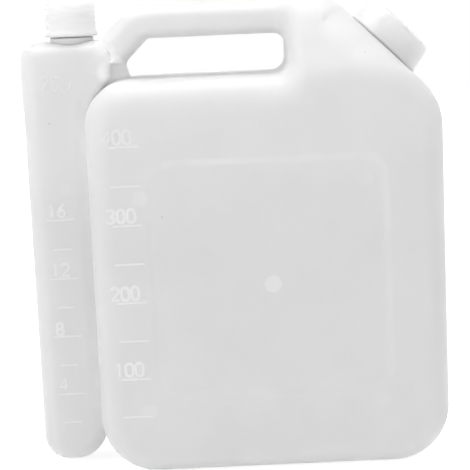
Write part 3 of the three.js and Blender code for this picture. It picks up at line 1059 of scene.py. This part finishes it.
class BOTTLE_OT_liners(bpy.types.Operator):
    """Gives the two sealing liners their foam"""

    bl_idname = "bottle.liners"
    bl_label = "Liners"

    def execute(self, context):
        foam = liner_foam()
        for name in ("oil_cap_liner", "fuel_cap_liner"):
            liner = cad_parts[name]
            liner.data.materials.clear()
            liner.data.materials.append(foam)
        return {"FINISHED"}


# Materials


# Where the plastic is paler and by how much, with painted light towards the top and on the web, where
# its specks are, and its common values
# Painted light from above: the plastic is painted lighter from the first height up to the second
PAINTED_LIGHT_FOOT = 60
PAINTED_LIGHT_HEAD = 126
# Painted light on the web between the column's head and the handle's tip, which lies in shade: its
# place and reach
PAINTED_WEB_LIGHT_PLACE = (-33.8, 116.5)
PAINTED_WEB_LIGHT_REACH = 2.5
# Painted light: how much lighter the top is painted, where light from above falls
PAINTED_TOP_LIGHT = 0.6
COLUMN_PALER = 0.15
# Painted light: how much lighter the shaded web is painted
PAINTED_WEB_LIGHT = 1.5
SPECKS = ((-52.5, 102.8), (-20.7, 76.1))
NOISE_LOW = 0.3
NOISE_HIGH = 0.7
PLASTIC_IOR = 1.5
LIGHTEST = 0.98


def new_material(name):
    """A material with its tree, its shader and the place in the piece's own space."""
    material = bpy.data.materials.new(name)
    material.use_nodes = True
    build = NodeTree(material.node_tree)
    shader = material.node_tree.nodes["Principled BSDF"]
    return material, build, shader, build.node("ShaderNodeTexCoord").outputs["Object"]


def noise(build, place, grain, detail=2.0):
    """Soft noise of a grain size given in millimetres."""
    inputs = {"Vector": place, "Scale": 1 / (grain * MM), "Detail": detail}
    return build.node("ShaderNodeTexNoise", inputs).outputs["Fac"]


def mottled(build, place, grain, low, high, detail=2.0):
    """A value that drifts between two limits in soft grains of a size in millimetres."""
    return build.ranged(noise(build, place, grain, detail), NOISE_LOW, NOISE_HIGH, low, high)


def tinted(build, shader, value, dark, light):
    """The shader's colour between two shades."""
    shades = {"Factor": value, "A": (*dark, 1), "B": (*light, 1)}
    mix = build.node("ShaderNodeMix", shades, data_type="RGBA", clamp_factor=False)
    build.feed(shader.inputs["Base Color"], mix.outputs["Result"])


def bumped(build, shader, heights):
    """Bumps laid over one another, each of (value, height in millimetres)."""
    below = None
    for value, height in heights:
        bump = build.node("ShaderNodeBump", {"Strength": 1, "Distance": height * MM, "Height": value})
        if below:
            build.feed(bump.inputs["Normal"], below)
        below = bump.outputs["Normal"]
    build.feed(shader.inputs["Normal"], below)


def milky(build, shader, scatter, roughness):
    """Light that spreads under the surface of a milky plastic."""
    shader.subsurface_method = "BURLEY"
    looks = {
        "IOR": PLASTIC_IOR,
        "Roughness": roughness,
        "Subsurface Weight": 1,
        "Subsurface Radius": (1, 1, 1),
        "Subsurface Scale": scatter * MM,
        "Sheen Weight": 0.15,
    }
    for label, value in looks.items():
        build.feed(shader.inputs[label], value)


def axis_value(build, place, axis):
    """One coordinate of a place."""
    return build.node("ShaderNodeSeparateXYZ", {0: place}).outputs[axis]


def spot(build, place, x, z, radius, soft, strength):
    """A round mark on the front at a place in millimetres, strong inside its radius."""
    flat = build.node("ShaderNodeVectorMath", {0: place, 1: (1, 0, 1)}, operation="MULTIPLY")
    ends = {0: flat.outputs["Vector"], 1: (x * MM, 0, z * MM)}
    away = build.node("ShaderNodeVectorMath", ends, operation="DISTANCE").outputs["Value"]
    mark = build.ranged(away, radius * MM, (radius + soft) * MM, strength, 0)
    front = build.ranged(axis_value(build, place, "Y"), -3 * MM, 0, 1, 0)
    return build.math("MULTIPLY", mark, front)


def paler_tone_and_painted_light(build, place):
    """Where the plastic is paler: painted light towards the top and on the shaded web, paler in the
    column, soft random tone, and at the mould marks.
    """
    # Painted light: the plastic is painted lighter towards the top, where light from above falls
    top = build.ranged(axis_value(build, place, "Z"), PAINTED_LIGHT_FOOT * MM, PAINTED_LIGHT_HEAD * MM, 0, PAINTED_TOP_LIGHT)
    across = axis_value(build, place, "X")
    column = build.ranged(across, COLUMN_LEFT * MM, TANK_LEFT * MM, COLUMN_PALER, 0)
    pale = build.math("ADD", top, column)
    pale = build.math("ADD", pale, mottled(build, place, 14, -0.06, 0.1, detail=3))
    for x, z, radius, strength in MOULD_DISCS:
        inner = radius - DISC_SOFTNESS / 2
        disc = spot(build, place, x, z, inner, DISC_SOFTNESS, strength / 2)
        pale = build.math("ADD", pale, disc)
    # Painted light: the recessed web, which lies in shade, is painted lighter
    web = spot(build, place, *PAINTED_WEB_LIGHT_PLACE, PAINTED_WEB_LIGHT_REACH, PAINTED_WEB_LIGHT_REACH, PAINTED_WEB_LIGHT)
    return build.math("ADD", pale, web)


def parting_line(build, place):
    """A thin line at mid depth, where the two halves of the mould met."""
    away = build.math("ABSOLUTE", axis_value(build, place, "Y"))
    return build.ranged(away, 0.1 * MM, 0.35 * MM, 1, 0)


def skin_plastic():
    """Milky blown plastic with paler places and painted light towards the top and on the web, specks,
    soft waves and a parting line.
    """
    material, build, shader, place = new_material("blown_skin")
    finish = sizes("finish")
    dark = np.array(finish["skin_colour"])
    # Paler tone in places, with painted light towards the top and on the shaded web
    pale = paler_tone_and_painted_light(build, place)
    for speck_x, speck_z in SPECKS:
        pale = build.math("ADD", pale, spot(build, place, speck_x, speck_z, 0.15, 0.35, -1))
    tinted(build, shader, pale, dark, np.minimum(dark * 1.16, LIGHTEST))
    even = finish["skin_roughness"]
    milky(build, shader, finish["scatter"], mottled(build, place, 3, even - 0.04, even + 0.05))
    waves = (noise(build, place, 26, 1), 0.5)
    grain = (noise(build, place, 0.35), 0.012)
    bumped(build, shader, (waves, grain, (parting_line(build, place), 0.12)))
    return material


def ridge_plastic(name, group_colour, lighter):
    """The plastic of thin raised marks and threads, too thin for light to spread in."""
    known = bpy.data.materials.get(name)
    if known:
        return known
    material, build, shader, place = new_material(name)
    finish = sizes("finish")
    light = np.minimum(np.array(finish[group_colour]) * lighter, LIGHTEST)
    tinted(build, shader, mottled(build, place, 5, 0, 1), light * 0.985, light)
    shader.inputs["IOR"].default_value = PLASTIC_IOR
    shader.inputs["Roughness"].default_value = finish["skin_roughness"]
    bumped(build, shader, ((noise(build, place, 0.35), 0.012),))
    return material


def raised_plastic():
    return ridge_plastic("raised_marks", "skin_colour", 1.15)


def cap_ridge_plastic():
    return ridge_plastic("cap_thread", "cap_colour", 1.0)


def cap_plastic():
    """Smooth milky plastic of the moulded caps."""
    material, build, shader, place = new_material("moulded_cap")
    finish = sizes("finish")
    light = np.array(finish["cap_colour"])
    tinted(build, shader, mottled(build, place, 6, 0, 1), light * 0.985, light)
    even = finish["cap_roughness"]
    milky(build, shader, finish["scatter"], mottled(build, place, 2, even - 0.03, even + 0.05))
    bumped(build, shader, ((noise(build, place, 0.3), 0.008),))
    return material


def liner_foam():
    """Dull foam of fine closed cells."""
    material, build, shader, place = new_material("sealing_foam")
    light = np.array(sizes("finish")["liner_colour"])
    cell = {"Vector": place, "Scale": 1 / (0.35 * MM)}
    cells = build.node("ShaderNodeTexVoronoi", cell).outputs["Distance"]
    tinted(build, shader, build.ranged(cells, 0.1, 0.6, 0, 1), light * 0.9, light)
    shader.inputs["Roughness"].default_value = 0.85
    bumped(build, shader, ((cells, 0.05),))
    return material


# Stage


PHOTO_WIDTH = 470
FOCAL_PIXELS = 1525.6
CAMERA_PLACE = Vector((-1.55, -450.0, 138.2)) * MM
CAMERA_DOWN = math.radians(9.07)
CAMERA_ASIDE = math.radians(0.16)
CAMERA_ROLL = math.radians(-2.56)
SENSOR = 36.0
WHITE = (1, 1, 1, 1)
SURROUND_LIGHT = 0.62
FLOOR_COLOUR = (0.8, 0.8, 0.8, 1)
FLOOR_GLOW = 0.3
FLOOR_GLOW_SEEN = 0.6
FLOOR_REACH = 1.5
LAMP_AIM = (0, 0, 0.08)


def camera_turn():
    """The camera's own axes, as the photograph's straight edges give them."""
    forward = Vector(
        (
            math.sin(CAMERA_ASIDE) * math.cos(CAMERA_DOWN),
            math.cos(CAMERA_ASIDE) * math.cos(CAMERA_DOWN),
            -math.sin(CAMERA_DOWN),
        )
    )
    right = Vector((math.cos(CAMERA_ASIDE), -math.sin(CAMERA_ASIDE), 0))
    up = right.cross(forward)
    across = math.cos(CAMERA_ROLL) * right + math.sin(CAMERA_ROLL) * up
    along = -math.sin(CAMERA_ROLL) * right + math.cos(CAMERA_ROLL) * up
    return Matrix((across, along, -forward)).transposed().to_4x4()


def add_camera():
    camera = bpy.data.objects.new("photo_camera", bpy.data.cameras.new("photo_camera"))
    camera.data.sensor_width = SENSOR
    camera.data.lens = FOCAL_PIXELS * SENSOR / PHOTO_WIDTH
    camera.data.clip_start = 0.01
    camera.data.clip_end = 20
    camera.matrix_world = Matrix.Translation(CAMERA_PLACE) @ camera_turn()
    bpy.context.scene.collection.objects.link(camera)
    bpy.context.scene.camera = camera


def add_lamp(name, place, width, height, power):
    """A soft rectangular lamp that points at the object."""
    lamp = bpy.data.lights.new(name, "AREA")
    lamp.shape = "RECTANGLE"
    lamp.size = width
    lamp.size_y = height
    lamp.energy = power
    item = bpy.data.objects.new(name, lamp)
    item.location = place
    item.rotation_euler = (Vector(LAMP_AIM) - Vector(place)).to_track_quat("-Z", "Y").to_euler()
    bpy.context.scene.collection.objects.link(item)


def seen_directly(build):
    """One where a ray comes from the camera, or by gloss or through glass."""
    path = build.node("ShaderNodeLightPath").outputs
    seen = build.math("MAXIMUM", path["Is Camera Ray"], path["Is Glossy Ray"])
    return build.math("MAXIMUM", seen, path["Is Transmission Ray"])


def light_world():
    """An even pale surround that looks white where it is seen."""
    world = bpy.data.worlds.new("studio")
    world.use_nodes = True
    bpy.context.scene.world = world
    world.node_tree.nodes.clear()
    build = NodeTree(world.node_tree)
    surround = build.node("ShaderNodeBackground", {"Color": WHITE, "Strength": SURROUND_LIGHT})
    white = build.node("ShaderNodeBackground", {"Color": WHITE, "Strength": 1})
    shades = {0: seen_directly(build), 1: surround.outputs[0], 2: white.outputs[0]}
    mix = build.node("ShaderNodeMixShader", shades)
    build.node("ShaderNodeOutputWorld", {"Surface": mix.outputs[0]})


def floor_white():
    """A white floor that keeps a pale shadow under the object."""
    material = bpy.data.materials.new("floor_white")
    material.use_nodes = True
    material.node_tree.nodes.clear()
    build = NodeTree(material.node_tree)
    matt = build.node("ShaderNodeBsdfDiffuse", {"Color": FLOOR_COLOUR})
    strength = build.ranged(seen_directly(build), 0, 1, FLOOR_GLOW, FLOOR_GLOW_SEEN)
    glow = build.node("ShaderNodeEmission", {"Strength": strength})
    both = build.node("ShaderNodeAddShader", {0: matt.outputs[0], 1: glow.outputs[0]})
    build.node("ShaderNodeOutputMaterial", {"Surface": both.outputs[0]})
    return material


def add_floor():
    ends = (-FLOOR_REACH, FLOOR_REACH)
    points = [(ends[i], ends[j], 0) for i, j in ((0, 0), (1, 0), (1, 1), (0, 1))]
    floor = mesh_object("floor", points, [(0, 1, 2, 3)], smooth=False)
    floor.data.materials.append(floor_white())


class BOTTLE_OT_stage(bpy.types.Operator):
    """Sets the camera, the soft lamps and the white floor"""

    bl_idname = "bottle.stage"
    bl_label = "Stage"

    def execute(self, context):
        context.scene.view_settings.view_transform = "Standard"
        add_camera()
        light_world()
        add_floor()
        add_lamp("top_lamp", (0, 0.05, 0.75), width=0.7, height=0.5, power=3.2)
        add_lamp("left_lamp", (-0.7, -0.5, 0.5), width=0.5, height=0.5, power=1.4)
        return {"FINISHED"}


class BOTTLE_PT_pieces(bpy.types.Panel):
    """Lists the bottle's pieces and its stage"""

    bl_idname = "BOTTLE_PT_pieces"
    bl_label = "Fuel mixing bottle"
    bl_space_type = "VIEW_3D"
    bl_region_type = "UI"
    bl_category = "Bottle"

    def draw(self, context):
        for step in STEPS:
            self.layout.operator(step.bl_idname)
        for group in SETTINGS:
            values = getattr(context.scene, group)
            box = self.layout.box()
            for name in values.bl_rna.properties.keys():
                if name not in ("name", "rna_type"):
                    box.prop(values, name)


STEPS = (
    BOTTLE_OT_stage,
    BOTTLE_OT_skin,
    BOTTLE_OT_necks,
    BOTTLE_OT_scales,
    BOTTLE_OT_caps,
    BOTTLE_OT_liners,
)
SETTINGS = {
    "bottle_sizes": BottleSizes,
    "scale_sizes": ScaleSizes,
    "closure_sizes": ClosureSizes,
    "finish": Finish,
}
CLASSES = (*SETTINGS.values(), *STEPS, BOTTLE_PT_pieces)


def register():
    for item in CLASSES:
        bpy.utils.register_class(item)
    for name, group in SETTINGS.items():
        setattr(bpy.types.Scene, name, PointerProperty(type=group))


def unregister():
    for name in SETTINGS:
        delattr(bpy.types.Scene, name)
    for item in reversed(CLASSES):
        bpy.utils.unregister_class(item)


def main():
    register()
    bpy.ops.bottle.stage()
    bpy.ops.bottle.skin()
    bpy.ops.bottle.necks()
    bpy.ops.bottle.scales()
    bpy.ops.bottle.caps()
    bpy.ops.bottle.liners()


if __name__ == "__main__":
    main()
